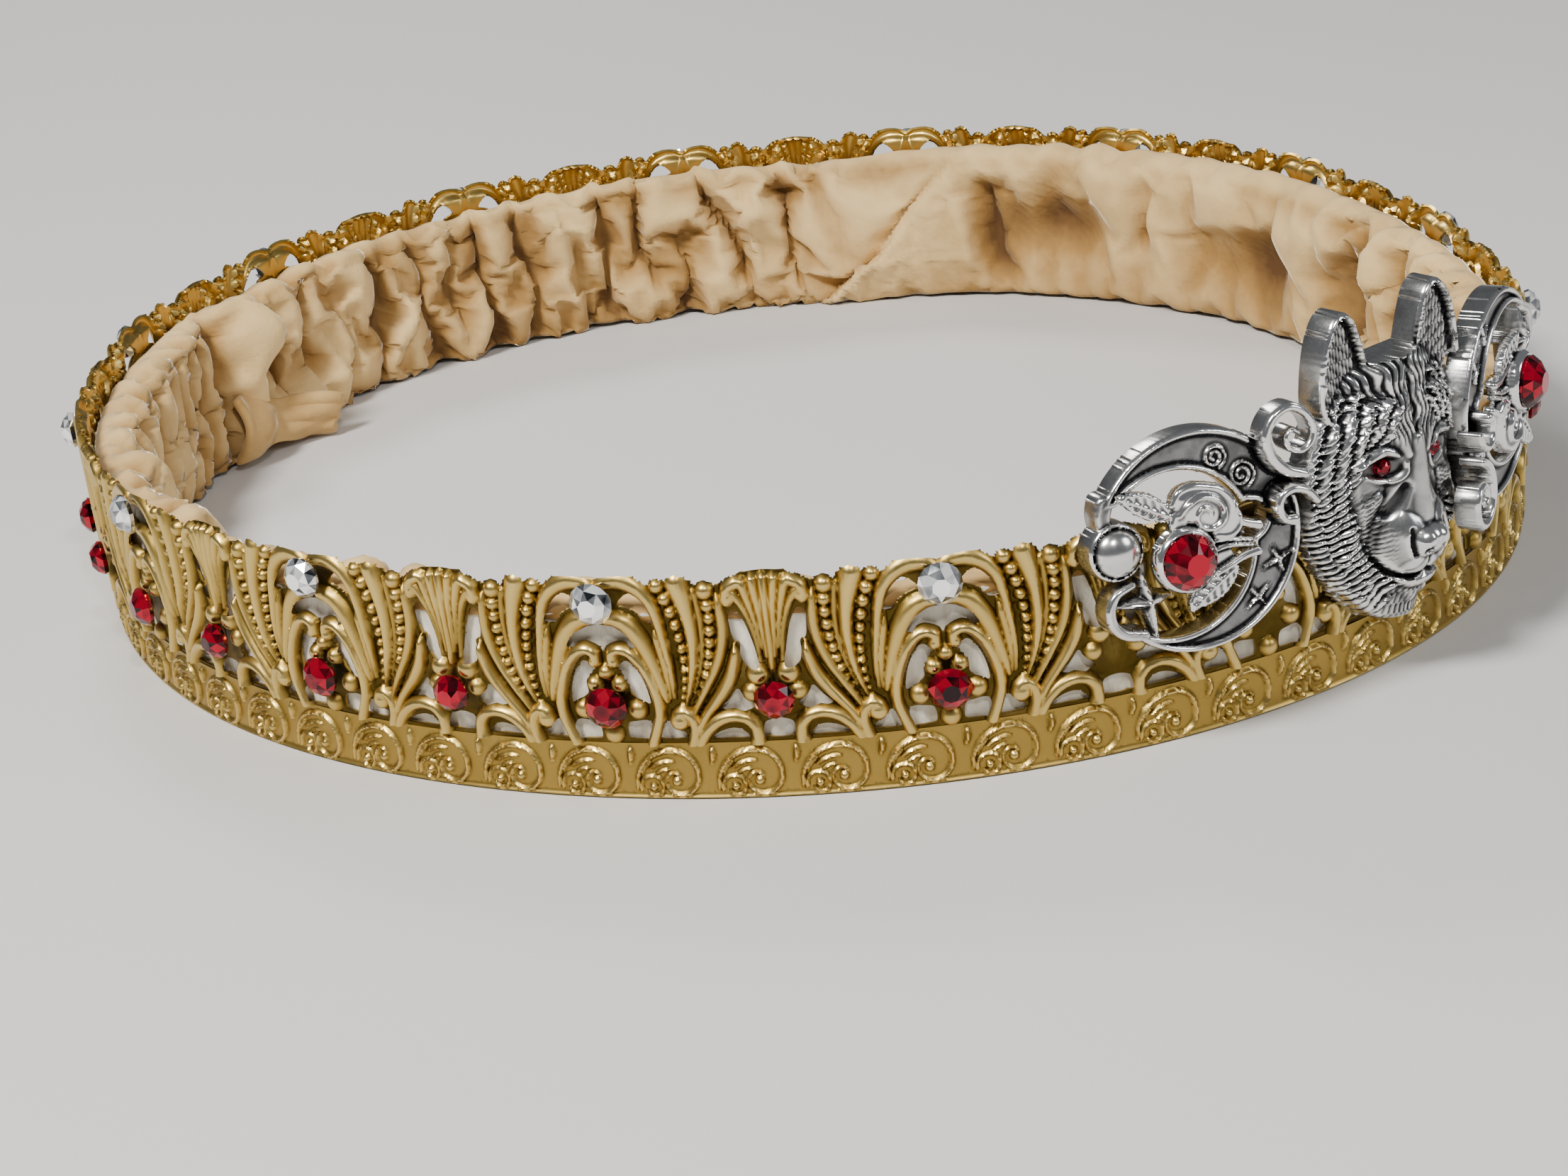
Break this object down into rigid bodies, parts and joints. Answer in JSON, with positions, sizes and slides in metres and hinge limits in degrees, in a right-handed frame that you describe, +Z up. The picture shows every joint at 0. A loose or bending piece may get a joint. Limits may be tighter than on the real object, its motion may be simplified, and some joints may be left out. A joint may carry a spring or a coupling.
{
  "type": "coronet",
  "caption": "Low ring coronet of pierced, stamped gilt strip with felt backing, gathered velvet lining, round stones and a silver-toned wolf head between two crescents.",
  "frame": {"origin": "middle of the head opening at the level of the band's base, which lies on Z = 0", "axes": "+Z up, out of the top of the coronet; -Y towards the front, where the wolf head is; +X to the right of somebody facing the front"},
  "size_m": [0.1778, 0.1991, 0.0428],
  "materials": {
    "gilt_metal": "stamped gilt brass, olive gold with dark recesses and rubbed bright relief",
    "cream_felt": "cream wool felt with fuzzy cut edges",
    "gathered_velvet": "champagne crushed velvet, soft pile with a pale sheen on its folds",
    "antique_silver": "antiqued silver-toned casting, polished high spots over dark oxidised grooves",
    "bright_silver": "brighter silver-toned casting with dark veins",
    "clear_crystal": "clear foiled flat-back crystal, faceted",
    "red_crystal": "ruby red foiled flat-back crystal, faceted"
  },
  "bodies": {
    "root": {"band": "gilt_metal", "backing": "cream_felt", "lining": "gathered_velvet", "wolf_head": "antique_silver", "crescent_left": "antique_silver", "crescent_right": "antique_silver", "rose_left": "bright_silver", "rose_right": "bright_silver", "clear_stone_01": "clear_crystal", "clear_stone_02": "clear_crystal", "clear_stone_03": "clear_crystal", "clear_stone_04": "clear_crystal", "clear_stone_05": "clear_crystal", "clear_stone_06": "clear_crystal", "clear_stone_07": "clear_crystal", "clear_stone_08": "clear_crystal", "clear_stone_09": "clear_crystal", "clear_stone_10": "clear_crystal", "clear_stone_11": "clear_crystal", "clear_stone_12": "clear_crystal", "clear_stone_13": "clear_crystal", "clear_stone_14": "clear_crystal", "arch_stone_01": "red_crystal", "arch_stone_02": "red_crystal", "arch_stone_03": "red_crystal", "arch_stone_04": "red_crystal", "arch_stone_05": "red_crystal", "arch_stone_06": "red_crystal", "arch_stone_07": "red_crystal", "arch_stone_08": "red_crystal", "arch_stone_09": "red_crystal", "arch_stone_10": "red_crystal", "arch_stone_11": "red_crystal", "arch_stone_12": "red_crystal", "arch_stone_13": "red_crystal", "arch_stone_14": "red_crystal", "fan_stone_01": "red_crystal", "fan_stone_02": "red_crystal", "fan_stone_03": "red_crystal", "fan_stone_04": "red_crystal", "fan_stone_05": "red_crystal", "fan_stone_06": "red_crystal", "fan_stone_07": "red_crystal", "fan_stone_08": "red_crystal", "fan_stone_09": "red_crystal", "fan_stone_10": "red_crystal", "fan_stone_11": "red_crystal", "fan_stone_12": "red_crystal", "fan_stone_13": "red_crystal", "rose_stone_left": "red_crystal", "rose_stone_right": "red_crystal", "eye_left": "red_crystal", "eye_right": "red_crystal"}
  },
  "joints": []
}
